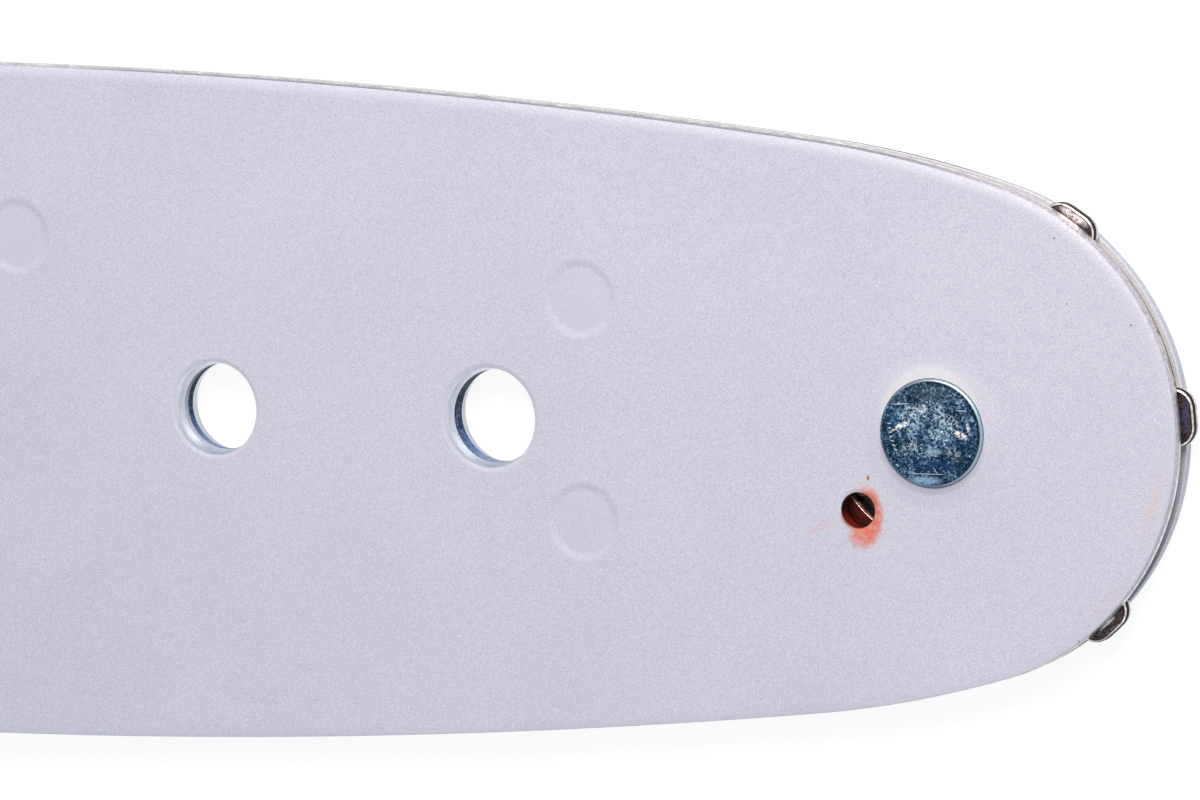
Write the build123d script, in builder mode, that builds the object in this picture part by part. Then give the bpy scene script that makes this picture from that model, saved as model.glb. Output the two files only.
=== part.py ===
# Laminated chainsaw guide bar with a seven-tooth sprocket nose, lying flat.
# Millimetres. +X runs along the bar towards the nose, +Z up through its thickness.
# The origin is the middle of the bar's length, on the surface that it lies on.
# Sketches are drawn from the nose axis, the line of the rivet that carries the sprocket.

import os
from math import asin, cos, degrees, hypot, pi, radians, sin, tan

from build123d import *

# Plate outline, from the nose round to the tail
nose_r = 16.0
nose_set_back = 0.28
shoulder_r = 69.0
shoulder_turn = 10.7
side_turn = 7.5
bar_width = 46.0
rivet_to_tail = 384.0
tail_entry_r = 110.0
tail_entry_turn = 16.0
tail_corner_r = 10.0

# Layers
side_plate_t = 1.05
groove_width = 1.1
groove_depth = 6.8
edge_break = 0.35

# Locating holes behind the nose, and the upper plate's grease hole beside the bearing
front_hole_d = 6.5
front_hole_from_rivet = 30.5
rear_hole_d = 6.2
core_ledge = 0.22
rear_hole_from_rivet = 50.7
grease_hole_d = 2.2
grease_hole_from_rivet = 7.1
grease_hole_angle = 225.0

# Spot welds, pressed into the upper face: a pair behind the nose, then a zigzag row
weld_d = 5.3
weld_floor_d = 4.1
weld_depth = 0.1
weld_pair_from_rivet = 23.9
weld_pair_spacing = 14.3
weld_pair_offset = 0.65
weld_row_from_rivet = 65.6
weld_row_pitch = 75.0
weld_row_offset = 11.2
weld_row_end_gap = 12.0

# Tail: stud slot, chain tensioner holes set in from the rails, and oil holes
slot_width = 8.2
slot_length = 62.0
slot_from_tail = 20.0
tensioner_hole_d = 6.8
tensioner_from_tail = 34.0
tensioner_inset = 11.5
oil_hole_d = 3.2
oil_hole_from_tail = 58.0

# Nose sprocket
tooth_count = 7
tooth_reach = 0.55
tooth_tip_width = 3.3
tooth_tip_round = 1.25
tooth_flank_angle = 8.5
gap_floor_r = 10.3
gap_round = 1.6
sprocket_phase = 4.8
sprocket_bore_d = 14.2
bore_chamfer = 0.2

# Roller bearing and rivet
roller_d = 2.4
roller_gap = 0.1
rivet_shank_d = 5.4
rivet_head_d = 6.8
rivet_proud = 0.35
rivet_head_chamfer = 0.2
countersink_angle = 90.0

# Clearances
sprocket_tip_clearance = 0.75
side_clearance = 0.05
bearing_clearance = 0.03
rivet_clearance = 0.02

# Levels through the thickness, from the surface that the bar lies on
lower_face_z = rivet_proud
groove_z = lower_face_z + side_plate_t
half_t = side_plate_t + groove_width / 2
middle_z = lower_face_z + half_t
upper_face_z = middle_z + half_t
running_z = groove_z + side_clearance
running_t = groove_width - 2 * side_clearance

# Outline: the side arc's radius takes the width from the shoulder to the full bar
tooth_tip_r = nose_r + tooth_reach
nose_x = (rivet_to_tail - tooth_tip_r) / 2
half_width = bar_width / 2
nose_turn = 90 - shoulder_turn - side_turn
shoulder_rise = cos(radians(side_turn)) - cos(radians(side_turn + shoulder_turn))
shoulder_end_y = nose_r * sin(radians(nose_turn)) + shoulder_r * shoulder_rise
side_r = (half_width - shoulder_end_y) / (1 - cos(radians(side_turn)))
tail_x = -rivet_to_tail
tail_entry_run = tail_entry_r * sin(radians(tail_entry_turn))
tail_corner_run = tail_corner_r * (1 - sin(radians(tail_entry_turn)))
rail_end_x = tail_x + tail_corner_run + tail_entry_run

# Places of the openings, from the nose axis
front_hole_spot = (-front_hole_from_rivet, 0)
rear_hole_spot = (-rear_hole_from_rivet, 0)
grease_hole_spot = (
    grease_hole_from_rivet * cos(radians(grease_hole_angle)),
    grease_hole_from_rivet * sin(radians(grease_hole_angle)),
)
slot_front_x = tail_x + slot_from_tail + slot_length
slot_spot = (slot_front_x - slot_length / 2, 0)
tensioner_offset = half_width - tensioner_inset
tensioner_spots = [(tail_x + tensioner_from_tail, side * tensioner_offset) for side in (1, -1)]
oil_hole_offset = half_width - groove_depth
oil_hole_spots = [(tail_x + oil_hole_from_tail, side * oil_hole_offset) for side in (1, -1)]

# Welds: the zigzag row goes on for as long as it stays clear of the stud slot
weld_row_room = -weld_row_from_rivet - slot_front_x - weld_row_end_gap
weld_row_count = int(weld_row_room / weld_row_pitch) + 1
weld_spots = []
for side in (1, -1):
    weld_spots.append((-weld_pair_from_rivet, weld_pair_offset + side * weld_pair_spacing / 2))
for row in range(weld_row_count):
    weld_spots.append((-weld_row_from_rivet - row * weld_row_pitch, (-1) ** row * weld_row_offset))

# Bearing: the rollers fill the ring between the sprocket's bore and the inner race
roller_r = roller_d / 2
roller_ring_r = sprocket_bore_d / 2 - bearing_clearance - roller_r
race_r = roller_ring_r - roller_r - bearing_clearance
roller_count = int(180 / degrees(asin((roller_r + roller_gap / 2) / roller_ring_r)))
roller_step = 360 / roller_count

# Rivet: the heads fill the countersinks and stand proud of the plates
rivet_shank_r = rivet_shank_d / 2
rivet_head_r = rivet_head_d / 2
countersink_depth = (rivet_head_r - rivet_shank_r) / tan(radians(countersink_angle / 2))

# Sprocket: tooth flanks run straight from the gap floor to the rounded tip
tooth_foot_width = tooth_tip_width + 2 * tooth_tip_r * tan(radians(tooth_flank_angle))
tooth_end_x = tooth_tip_r + tooth_tip_width
tooth_end_width = tooth_tip_width - 2 * tooth_tip_width * tan(radians(tooth_flank_angle))
gap_floor_width = 2 * pi * gap_floor_r / tooth_count - tooth_tip_width
gap_floor_width -= 2 * (tooth_tip_r - gap_floor_r) * tan(radians(tooth_flank_angle))


def nose_plane(z):
    """Level plane with its origin on the nose axis."""
    return Plane((nose_x, 0, z))


# Outline shared by the three layers: half of it is drawn as tangent arcs, then mirrored
with BuildSketch() as bar_outline:
    with BuildLine():
        nose = CenterArc((-nose_set_back, 0), nose_r, 0, nose_turn)
        shoulder = JernArc(nose @ 1, nose % 1, shoulder_r, shoulder_turn)
        side_arc = JernArc(shoulder @ 1, shoulder % 1, side_r, side_turn)
        rail = Line(side_arc @ 1, (rail_end_x, half_width))
        tail_entry = JernArc(rail @ 1, rail % 1, tail_entry_r, tail_entry_turn)
        tail_corner = JernArc(tail_entry @ 1, tail_entry % 1, tail_corner_r, 90 - tail_entry_turn)
        Line(tail_corner @ 1, (tail_x, 0))
        mirror(about=Plane.XZ)
    make_face()

# Openings through all three layers, as they are in the core
with BuildSketch() as core_openings:
    with Locations(front_hole_spot):
        Circle(front_hole_d / 2 - core_ledge)
    with Locations(rear_hole_spot):
        Circle(rear_hole_d / 2 - core_ledge)
    with Locations(slot_spot):
        SlotOverall(slot_length, slot_width)
    with Locations(tensioner_spots):
        Circle(tensioner_hole_d / 2)
    with Locations(oil_hole_spots):
        Circle(oil_hole_d / 2)

# The same in the side plates, where the locating holes are wider and leave a ledge of the core
with BuildSketch() as plate_openings:
    add(core_openings.sketch)
    with Locations(front_hole_spot):
        Circle(front_hole_d / 2)
    with Locations(rear_hole_spot):
        Circle(rear_hole_d / 2)

# Lower side plate: broken outer edge, countersunk for the rivet
with BuildPart() as inner_side_plate:
    with BuildSketch(nose_plane(lower_face_z)):
        add(bar_outline.sketch)
        add(plate_openings.sketch, mode=Mode.SUBTRACT)
    extrude(amount=side_plate_t)
    lower_face = inner_side_plate.faces().sort_by(Axis.Z)[0]
    chamfer(lower_face.outer_wire().edges(), edge_break)
    with Locations(Plane((nose_x, 0, lower_face_z), z_dir=(0, 0, -1))):
        CounterSinkHole(rivet_shank_r, rivet_head_r, side_plate_t, countersink_angle)

# Upper side plate: the same pressing, the other way up, with the grease hole and the weld dishes
with BuildPart() as outer_side_plate:
    mirror(inner_side_plate.part, about=Plane.XY.offset(middle_z))
    with Locations((nose_x + grease_hole_spot[0], grease_hole_spot[1], upper_face_z)):
        Hole(grease_hole_d / 2, side_plate_t)
    with Locations([(nose_x + x, y, upper_face_z) for x, y in weld_spots]):
        Cone(
            weld_floor_d / 2,
            weld_d / 2,
            weld_depth,
            align=(Align.CENTER, Align.CENTER, Align.MAX),
            mode=Mode.SUBTRACT,
        )

# Core plate: held back from the rails to leave the chain groove, hollowed round the sprocket
with BuildPart() as core_plate:
    with BuildSketch(nose_plane(groove_z)):
        offset(bar_outline.sketch, amount=-groove_depth)
        Circle(tooth_tip_r + sprocket_tip_clearance, mode=Mode.SUBTRACT)
        add(core_openings.sketch, mode=Mode.SUBTRACT)
    extrude(amount=groove_width)

# Nose sprocket: straight-flanked teeth on a ring, with rounded tips and gaps
with BuildPart() as nose_sprocket:
    with BuildSketch(nose_plane(running_z)) as star:
        with PolarLocations(0, tooth_count, sprocket_phase):
            Polygon(
                (0, -tooth_foot_width / 2),
                (tooth_end_x, -tooth_end_width / 2),
                (tooth_end_x, tooth_end_width / 2),
                (0, tooth_foot_width / 2),
                align=None,
            )
        Circle(tooth_tip_r, mode=Mode.INTERSECT)
        Circle(gap_floor_r)
        tip_corners = [v for v in star.vertices() if hypot(v.X, v.Y) > (gap_floor_r + tooth_tip_r) / 2]
        fillet(tip_corners, min(tooth_tip_round, 0.45 * tooth_tip_width))
        gap_corners = [v for v in star.vertices() if hypot(v.X, v.Y) < (gap_floor_r + tooth_tip_r) / 2]
        fillet(gap_corners, min(gap_round, 0.45 * gap_floor_width))
        Circle(sprocket_bore_d / 2, mode=Mode.SUBTRACT)
    extrude(amount=running_t)
    end_faces = nose_sprocket.faces().filter_by(Axis.Z)
    chamfer([edge for face in end_faces for edge in face.inner_wires()[0].edges()], bore_chamfer)

# Inner race: clamped between the side plates, so that the sprocket beside it runs free
with BuildPart() as bearing_inner_race:
    with BuildSketch(nose_plane(groove_z)):
        Circle(race_r)
        Circle(rivet_shank_r + rivet_clearance, mode=Mode.SUBTRACT)
    extrude(amount=groove_width)

# Rivet: half of its section is turned, then mirrored
with BuildPart() as nose_rivet:
    with BuildSketch(Plane((nose_x, 0, middle_z), x_dir=(1, 0, 0), z_dir=(0, -1, 0))):
        with BuildLine():
            Polyline(
                (0, 0),
                (rivet_shank_r, 0),
                (rivet_shank_r, half_t - countersink_depth),
                (rivet_head_r, half_t),
                (rivet_head_r, half_t + rivet_proud),
                (0, half_t + rivet_proud),
                close=True,
            )
        make_face()
    revolve(axis=Axis((nose_x, 0, middle_z), (0, 0, 1)))
    chamfer(nose_rivet.edges().sort_by(Axis.Z)[-1], rivet_head_chamfer)
    mirror(about=Plane.XY.offset(middle_z))

# Rollers: loose short pins round the race, with a gap between two of them at the grease hole
rollers = []
for number in range(roller_count):
    angle = radians(grease_hole_angle + (number + 0.5) * roller_step)
    roller_spot = (roller_ring_r * cos(angle), roller_ring_r * sin(angle))
    with BuildPart() as bearing_roller:
        with BuildSketch(nose_plane(running_z)):
            with Locations(roller_spot):
                Circle(roller_r)
        extrude(amount=running_t)
    bearing_roller.part.label = f"bearing_roller_{number + 1:02d}"
    rollers.append(bearing_roller.part)

outer_side_plate.part.label = "outer_side_plate"
core_plate.part.label = "core_plate"
inner_side_plate.part.label = "inner_side_plate"
nose_sprocket.part.label = "nose_sprocket"
bearing_inner_race.part.label = "bearing_inner_race"
nose_rivet.part.label = "nose_rivet"

os.makedirs("parts", exist_ok=True)
export_step(outer_side_plate.part, "parts/outer_side_plate.step")
export_step(core_plate.part, "parts/core_plate.step")
export_step(inner_side_plate.part, "parts/inner_side_plate.step")
export_step(nose_sprocket.part, "parts/nose_sprocket.step")
export_step(bearing_inner_race.part, "parts/bearing_inner_race.step")
export_step(nose_rivet.part, "parts/nose_rivet.step")
for roller in rollers:
    export_step(roller, f"parts/{roller.label}.step")
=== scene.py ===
# Looks of a laminated chainsaw guide bar that lies flat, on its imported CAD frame.
# Sizes are in millimetres, as in the part's source. The nose axis is the rivet's axis.

from math import acos, atan2, cos, degrees, hypot, pi, radians, sin, sqrt

import bmesh
import bpy
from mathutils import Matrix, Vector


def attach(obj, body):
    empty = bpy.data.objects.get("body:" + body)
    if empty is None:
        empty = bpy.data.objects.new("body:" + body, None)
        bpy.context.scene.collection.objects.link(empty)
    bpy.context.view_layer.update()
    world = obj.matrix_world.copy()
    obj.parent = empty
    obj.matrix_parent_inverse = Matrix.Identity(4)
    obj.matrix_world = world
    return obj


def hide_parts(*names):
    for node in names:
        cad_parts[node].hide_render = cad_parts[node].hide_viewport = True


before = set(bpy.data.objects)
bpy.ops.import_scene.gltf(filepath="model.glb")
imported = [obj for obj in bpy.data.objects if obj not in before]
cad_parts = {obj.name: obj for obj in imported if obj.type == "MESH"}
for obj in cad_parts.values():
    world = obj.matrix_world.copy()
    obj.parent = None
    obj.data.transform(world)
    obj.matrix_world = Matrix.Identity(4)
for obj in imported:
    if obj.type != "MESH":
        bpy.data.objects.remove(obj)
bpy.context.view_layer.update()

MM = 0.001

# Points closer than this, in metres, are one
touching = 1e-6

# Outline of the side plates, from the nose round to the tail
nose_x = 183.725
nose_r = 16.0
nose_set_back = 0.28
shoulder_r = 69.0
shoulder_turn = 10.7
side_turn = 7.5
half_width = 23.0
rivet_to_tail = 384.0
tail_entry_r = 110.0
tail_entry_turn = 16.0
tail_corner_r = 10.0
tail_x = nose_x - rivet_to_tail

# Outline of the core: back from the rails by the groove, and hollow round the sprocket
groove_depth = 6.8
cavity_r = 17.3

# Centres of the outline's arcs
nose_turn = 90 - shoulder_turn - side_turn
side_from = nose_turn + shoulder_turn
nose_arc_x = nose_x - nose_set_back
shoulder_x = nose_arc_x + (nose_r - shoulder_r) * cos(radians(nose_turn))
shoulder_y = (nose_r - shoulder_r) * sin(radians(nose_turn))
shoulder_end_y = shoulder_y + shoulder_r * sin(radians(side_from))
side_r = (half_width - shoulder_end_y) / (1 - cos(radians(side_turn)))
side_x = shoulder_x + (shoulder_r - side_r) * cos(radians(side_from))
side_y = half_width - side_r

# Levels through the thickness
middle_z = 1.95
groove_width = 1.1
side_plate_t = 1.05
back_z = middle_z + groove_width / 2
face_z = back_z + side_plate_t
running_t = 1.0
running_z = middle_z - running_t / 2

# Rounding of the upper plate's outer edge, the lower one's, and both at the groove, as width and depth
edge_roll = (0.85, 0.4)
lower_roll = (0.2, 0.1)
back_roll = (0.05, 0.05)

# Below a level that rounding keeps only a small share of its depth, and it fades over a distance
square_below_y = 1.0
square_fade = 17.0
square_keep = 0.12

# Lip that the chain has pushed out along the groove: its width and height, and the upright share of that
rail_lip = (0.07, 0.12)
lip_upright = 0.1

# How far in from its edge the chain rubs a rail's inner side
rail_rub = 0.3

# Rims of the punched holes, as width along the face and depth down the wall
hole_rim = (0.3, 0.07)

# A rim's profile from the face down, as shares of its width and of its depth
rim_profile = [(0.12, 0.03), (0.12, 0.12), (0.56, 0.55), (0.13, 0.15), (0.07, 0.15)]

# Sides of the circles that holes, the rivet and the rollers are drawn with
hole_steps = 96
rivet_steps = 128
roller_steps = 40

# Openings through all three layers: place, width, and length where one is a slot
front_hole = (nose_x - 30.5, 0.0, 6.5)
rear_hole = (nose_x - 50.7, 0.0, 6.2)
stud_slot = (tail_x + 51.0, 0.0, 8.2, 62.0)
tensioner_holes = [(tail_x + 34.0, side * 11.5, 6.8) for side in (1, -1)]
oil_holes = [(tail_x + 58.0, side * 16.2, 3.2) for side in (1, -1)]
openings = [front_hole, rear_hole, stud_slot] + tensioner_holes + oil_holes

# Ledge of the core that stands into the two locating holes
core_ledge = 0.22
locating_holes = [front_hole, rear_hole]

# Grease hole of the upper plate
grease_turn = 225.0
grease_from_rivet = 7.1
grease_hole_d = 2.2

# Spot welds pressed into the upper plate: a pair behind the nose, then a zigzag row
weld_d = 5.3
weld_slope = 0.7
weld_depth = 0.1
weld_pair_x = nose_x - 23.9
weld_row_x = nose_x - 65.6
weld_row_pitch = 75.0
weld_row_offset = 11.2
weld_pair = [(weld_pair_x, 7.8), (weld_pair_x, -6.5)]
weld_row = [(weld_row_x - weld_row_pitch * row, weld_row_offset * (-1) ** row) for row in range(3)]

# Rivet, with its head's rounding and low crown, and the collar that its peening raised in the plate
rivet_shank_r = 2.7
rivet_head_r = 3.4
rivet_proud = 0.35
rivet_roll = (0.3, 0.17)
rivet_crown = (0.6, 0.03)
rivet_clearance = 0.02
countersink_depth = rivet_head_r - rivet_shank_r
collar_r = 4.9
collar_rise = 0.11

# Nose sprocket and its bearing
tooth_count = 7
tooth_tip_r = 16.55
tooth_tip_width = 3.3
tooth_flank_angle = 8.5
tooth_tip_round = 1.25
gap_floor_r = 10.3
gap_round = 1.6
sprocket_phase = 4.8
sprocket_bore_r = 7.1
sprocket_bevel = 0.2
bore_rim = (0.2, 0.2)
roller_r = 1.2
roller_ring_r = 5.87
roller_count = 14
roller_bevel = 0.12

# Faces are told apart by how far their normals tilt to the vertical, from 0 for a wall to 1 for a level face
wall_tilt = 0.6
roll_tilt = 0.72
level_tilt = 0.98

# The same up a tooth's edge: where its flank, first dark line, bright bevel and second dark line end
tooth_tilts = (0.3, 0.6, 0.95, 0.995)

# How far round the bore its rim's finish can reach, and how far past the groove the rubbed strip does
bore_margin = 1.0
strip_margin = 0.01


def linear(hex_colour):
    """An sRGB hex colour as the linear colour that a shader takes."""
    channels = [int(hex_colour[place:place + 2], 16) / 255 for place in (1, 3, 5)]
    return [c / 12.92 if c <= 0.04045 else ((c + 0.055) / 1.055) ** 2.4 for c in channels] + [1.0]


def pattern_scale(size):
    """The texture scale whose features are about that many millimetres across."""
    return 1 / (size * MM)


def add_node(tree, kind, values=None, links=None, **settings):
    """Adds one node with its settings, its sockets' values and the outputs that feed it."""
    node = tree.nodes.new(kind)
    for name, value in settings.items():
        setattr(node, name, value)
    for socket, value in (values or {}).items():
        node.inputs[socket].default_value = value
    for socket, source in (links or {}).items():
        tree.links.new(source, node.inputs[socket])
    return node


def new_material(name, values):
    """A material with these constants on its shader; returns it with its tree, shader and place output."""
    material = bpy.data.materials.new(name)
    material.use_nodes = True
    tree = material.node_tree
    shader = tree.nodes["Principled BSDF"]
    for socket, value in values.items():
        shader.inputs[socket].default_value = value
    place = add_node(tree, "ShaderNodeTexCoord").outputs["Object"]
    return material, tree, shader, place


def show_white(tree, lit, white, output):
    """Shows the white shader to the eye, in mirrors and through glass, and the lit one to all other light."""
    rays = add_node(tree, "ShaderNodeLightPath").outputs
    seen = add_node(
        tree, "ShaderNodeMath", {}, {0: rays["Is Camera Ray"], 1: rays["Is Glossy Ray"]}, operation="ADD"
    ).outputs["Value"]
    seen = add_node(
        tree, "ShaderNodeMath", {}, {0: seen, 1: rays["Is Transmission Ray"]}, operation="ADD", use_clamp=True
    ).outputs["Value"]
    whole = add_node(
        tree, "ShaderNodeMixShader", {}, {0: seen, 1: lit.outputs[0], 2: white.outputs[0]}
    )
    tree.links.new(whole.outputs[0], tree.nodes[output].inputs["Surface"])


def from_nose(radius, turn):
    """The point at that radius and angle from the nose axis."""
    return nose_x + radius * cos(radians(turn)), radius * sin(radians(turn))


def start_piece(name):
    """Names the primitive that was just added, and opens it for modelling."""
    piece = bpy.context.object
    piece.name = name
    piece.data.name = name
    bpy.ops.object.transform_apply()
    bpy.ops.object.mode_set(mode="EDIT")
    bpy.ops.mesh.select_mode(type="VERT")
    return piece


def start_point(name, x, y, z):
    """A new piece that is a single point so far."""
    bpy.ops.object.select_all(action="DESELECT")
    bpy.ops.mesh.primitive_plane_add(size=MM, location=(x * MM, y * MM, z * MM))
    piece = start_piece(name)
    bpy.ops.mesh.merge(type="CENTER")
    return piece


def swing(x, y, turn, steps):
    """Draws an arc from the selected point round a centre, anticlockwise where the turn is positive."""
    bpy.ops.mesh.spin(steps=steps, angle=-radians(turn), center=(x * MM, y * MM, 0), axis=(0, 0, 1))


def pull(x, y, z):
    """Extrudes the selection by that much."""
    bpy.ops.mesh.extrude_region_move(TRANSFORM_OT_translate={"value": (x * MM, y * MM, z * MM)})


def inset(width, rise):
    """Insets the selected face by a width, and lifts it."""
    bpy.ops.mesh.inset(thickness=width * MM, depth=rise * MM)


def round_over(width, rise, steps):
    """Insets that go up a wall and over a rounded edge on to the face."""
    for step in range(steps):
        a = radians(90 * step / steps)
        b = radians(90 * (step + 1) / steps)
        inset(width * (cos(a) - cos(b)), rise * (sin(b) - sin(a)))


def ease(width, rise, steps):
    """Insets that go from level to level in a soft slope."""
    for step in range(steps):
        a = pi * step / steps
        b = pi * (step + 1) / steps
        inset(width / steps, rise * (cos(a) - cos(b)) / 2)


def select_edges(piece, wanted):
    """Selects only the edges that pass the test."""
    bpy.ops.mesh.select_mode(type="EDGE")
    bpy.ops.mesh.select_all(action="DESELECT")
    mesh = bmesh.from_edit_mesh(piece.data)
    for edge in mesh.edges:
        if wanted(edge):
            edge.select_set(True)
    bmesh.update_edit_mesh(piece.data)


def select_points(piece, wanted):
    """Selects only the points that pass the test."""
    bpy.ops.mesh.select_mode(type="VERT")
    bpy.ops.mesh.select_all(action="DESELECT")
    mesh = bmesh.from_edit_mesh(piece.data)
    for point in mesh.verts:
        if wanted(point):
            point.select_set(True)
    mesh.select_flush(True)
    bmesh.update_edit_mesh(piece.data)


def fill_level(piece, z):
    """Fills the flat face between all the open edges at one level."""
    select_edges(
        piece,
        lambda edge: len(edge.link_faces) < 2 and all(abs(v.co.z - z * MM) < touching for v in edge.verts),
    )
    bpy.ops.mesh.fill(use_beauty=True)


def close_mesh():
    """Merges the seams and turns every face outwards."""
    bpy.ops.mesh.select_all(action="SELECT")
    bpy.ops.mesh.remove_doubles(threshold=touching)
    bpy.ops.mesh.normals_make_consistent(inside=False)
    bpy.ops.object.mode_set(mode="OBJECT")


def apply_modifier(piece, name, kind, **settings):
    """Adds a modifier with these settings and applies it."""
    modifier = piece.modifiers.new(name, kind)
    for setting, value in settings.items():
        setattr(modifier, setting, value)
    bpy.ops.object.modifier_apply(modifier=name)


def smooth_piece(piece, sharp_from):
    """Smooth shading, with edges over that angle left sharp and level faces kept flat."""
    bpy.ops.object.shade_smooth_by_angle(angle=radians(sharp_from))
    for face in piece.data.polygons:
        if abs(face.normal.z) > 0.99999:
            face.use_smooth = False
    apply_modifier(piece, "flat faces", "WEIGHTED_NORMAL", keep_sharp=True)


def finish_selected(piece, number):
    """Gives the faces that are selected the piece's finish of that number."""
    mesh = bmesh.from_edit_mesh(piece.data)
    for face in mesh.faces:
        if face.select:
            face.material_index = number
    bmesh.update_edit_mesh(piece.data)


def finish_faces(piece, number, wanted):
    """Gives the faces that pass the test, and have only the first finish so far, the one of that number."""
    for face in piece.data.polygons:
        if face.material_index == 0 and wanted(face.center / MM, face.normal):
            face.material_index = number


def finish_piece(piece, body, node, slot, *materials):
    """Gives a piece its finishes and puts it on its CAD body in place of a node."""
    for material in materials:
        piece.data.materials.append(material)
    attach(piece, body)
    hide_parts(node)


def draw_rail():
    """Goes on from the side arc along the rail and round the tail to the middle line."""
    corner_x = tail_x + tail_corner_r
    entry_x = corner_x + (tail_entry_r - tail_corner_r) * sin(radians(tail_entry_turn))
    entry_y = half_width - tail_entry_r
    corner_y = entry_y + (tail_entry_r - tail_corner_r) * cos(radians(tail_entry_turn))
    pull(entry_x - side_x, 0, 0)
    swing(entry_x, entry_y, tail_entry_turn, 16)
    swing(corner_x, corner_y, 90 - tail_entry_turn, 24)
    pull(0, -corner_y, 0)


def mirror_outline():
    """Adds the other half of an outline that is drawn down to the middle line."""
    bpy.ops.mesh.select_all(action="SELECT")
    bpy.ops.mesh.duplicate()
    bpy.ops.transform.resize(value=(1, -1, 1), center_override=(0, 0, 0))
    bpy.ops.mesh.select_all(action="SELECT")
    bpy.ops.mesh.remove_doubles(threshold=touching)


def fill_outline(piece):
    """Fills an outline with one face that looks up."""
    bpy.ops.mesh.edge_face_add()
    mesh = bmesh.from_edit_mesh(piece.data)
    mesh.normal_update()
    if all(face.normal.z < 0 for face in mesh.faces):
        bpy.ops.mesh.flip_normals()


def mirror_down():
    """Adds the lower half of a piece that is built up from its middle."""
    bpy.ops.mesh.select_all(action="SELECT")
    bpy.ops.mesh.duplicate()
    bpy.ops.transform.resize(value=(1, 1, -1), center_override=(0, 0, middle_z * MM))


def square_lower_edge(piece, rounded_from):
    """Draws the rounded edge back up to a square one along the lower rail, fading out at both ends."""
    select_points(piece, lambda v: v.co.z > rounded_from * MM - touching / 10)
    bpy.ops.mesh.hide(unselected=True)
    select_points(piece, lambda v: not v.hide and v.co.y < square_below_y * MM)
    bpy.ops.transform.resize(
        value=(1, 1, square_keep), center_override=(0, 0, face_z * MM), use_proportional_edit=True,
        proportional_edit_falloff="SMOOTH", proportional_size=square_fade * MM,
    )
    bpy.ops.mesh.reveal(select=False)


def draw_plate(name, z):
    """The side plates' outline as one face."""
    piece = start_point(name, nose_arc_x + nose_r, 0, z)
    swing(nose_arc_x, 0, nose_turn, 72)
    swing(shoulder_x, shoulder_y, shoulder_turn, 24)
    swing(side_x, side_y, side_turn, 36)
    draw_rail()
    mirror_outline()
    fill_outline(piece)
    return piece


def draw_opening(x, y, width, length, steps, z):
    """A circle, or a slot where the length is more than the width, as one face."""
    bpy.ops.mesh.primitive_circle_add(
        vertices=steps,
        radius=width / 2 * MM,
        fill_type="NGON",
        location=(x * MM, y * MM, z * MM),
        rotation=(0, 0, pi / steps),
    )
    if length > width:
        spread_slot(x, length - width)


def spread_slot(x, spread):
    """Draws the two halves of the circle that is selected apart along the bar."""
    mesh = bmesh.from_edit_mesh(bpy.context.object.data)
    circle = [v for v in mesh.verts if v.select]
    for side in (1, -1):
        bpy.ops.mesh.select_all(action="DESELECT")
        for v in circle:
            if side * (v.co.x - x * MM) > 0:
                v.select_set(True)
        mesh.select_flush(True)
        bpy.ops.transform.translate(value=(side * spread / 2 * MM, 0, 0))
    for v in circle:
        v.select_set(True)
    mesh.select_flush(True)


def punch(top, bottom, rim, x, y, width, length=0.0):
    """A hole or slot down from a face to another level, with a rounded rim."""
    rim_width, rim_drop = rim
    spread = 2 * rim_width
    draw_opening(x, y, width + spread, length + spread if length else 0, hole_steps, top)
    for width_share, drop_share in rim_profile:
        inset(width_share * rim_width, -drop_share * rim_drop)
    pull(0, 0, bottom - top + rim_drop)
    bpy.ops.mesh.delete(type="ONLY_FACE")


def press_weld(x, y):
    """A spot weld's shallow dish with a flat floor."""
    draw_opening(x, y, weld_d, 0, hole_steps, face_z)
    ease(weld_slope, -weld_depth, 8)


def seat_rivet():
    """The raised collar round the rivet and the countersink under its head."""
    seat_r = rivet_head_r + rivet_clearance
    draw_opening(nose_x, 0, 2 * collar_r, 0, rivet_steps, face_z)
    ease(collar_r - seat_r, collar_rise, 10)
    pull(0, 0, -collar_rise)
    inset(countersink_depth, -countersink_depth)
    pull(0, 0, back_z - face_z + countersink_depth)
    bpy.ops.mesh.delete(type="ONLY_FACE")


def in_opening(spot, x, y, width, length=0.0):
    """Whether a face's middle lies on the wall of an opening, not out on the plate's face."""
    wall_margin = 0.02
    beside = max(abs(spot.x - x) - max(length - width, 0) / 2, 0)
    return hypot(beside, spot.y - y) < width / 2 + wall_margin


def in_any_opening(spot):
    """Whether a face's middle lies on the wall of one of the openings."""
    return any(in_opening(spot, *hole) for hole in openings)


def on_rail(spot):
    """Whether a face's middle lies out at the rails, clear of the grease hole and the rivet's seat."""
    return hypot(spot.x - nose_x, spot.y) > grease_from_rivet + grease_hole_d


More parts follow.
